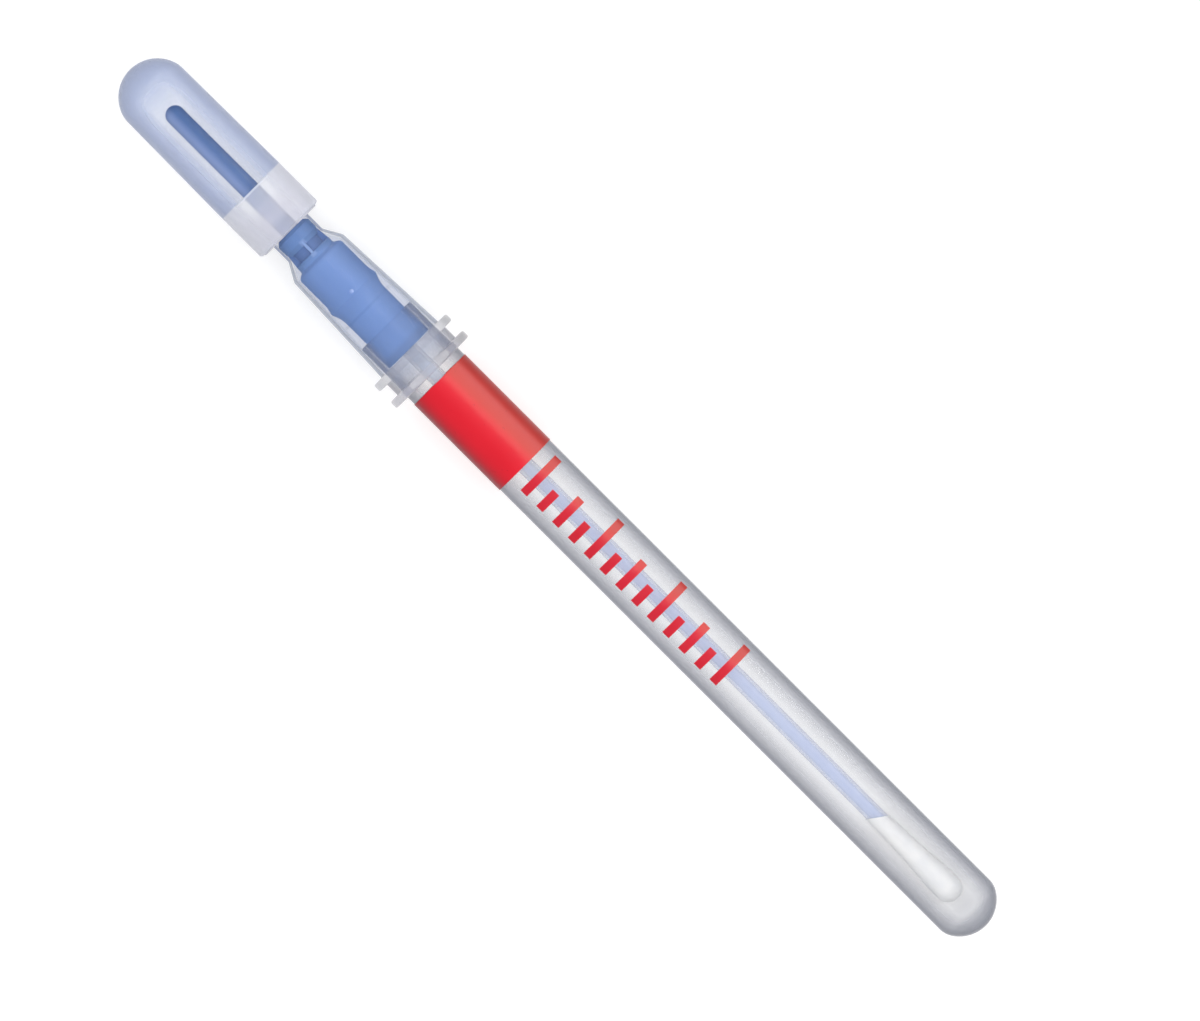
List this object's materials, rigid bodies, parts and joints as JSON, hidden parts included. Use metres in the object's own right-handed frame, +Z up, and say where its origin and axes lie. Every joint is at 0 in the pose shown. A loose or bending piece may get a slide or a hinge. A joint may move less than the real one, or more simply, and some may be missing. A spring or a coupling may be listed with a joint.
{
  "type": "specimen swab tube",
  "caption": "Self-contained surface swab: fibre bud on a hollow shaft in a clear round-ended tube, under a snap valve and a squeeze bulb of liquid.",
  "frame": {"origin": "on the floor under the middle of the whole length, as it lies on its side", "axes": "+Z up; X along the swab, +X towards the tube's closed end and -X towards the squeeze bulb, which lies a little higher because the tube's flange lifts it; Y across"},
  "size_m": [0.1804, 0.0152, 0.0153],
  "materials": {
    "swab_tube": "gloss",
    "red_band": "gloss",
    "valve_housing": "gloss",
    "squeeze_bulb": "satin",
    "reagent": "gloss",
    "snap_valve": "satin",
    "swab_shaft": "satin",
    "swab_tip": "matte"
  },
  "bodies": {
    "tube": {"swab_tube": "swab_tube", "red_band": "red_band"},
    "swab_head": {"valve_housing": "valve_housing", "squeeze_bulb": "squeeze_bulb", "reagent": "reagent", "snap_valve": "snap_valve", "swab_shaft": "swab_shaft", "swab_tip": "swab_tip"}
  },
  "joints": [
    {"name": "swab_pull", "type": "slide", "parent": "tube", "child": "swab_head", "axis": [-0.9998, 0, 0.0209], "range_m": [0, 0.125]}
  ]
}
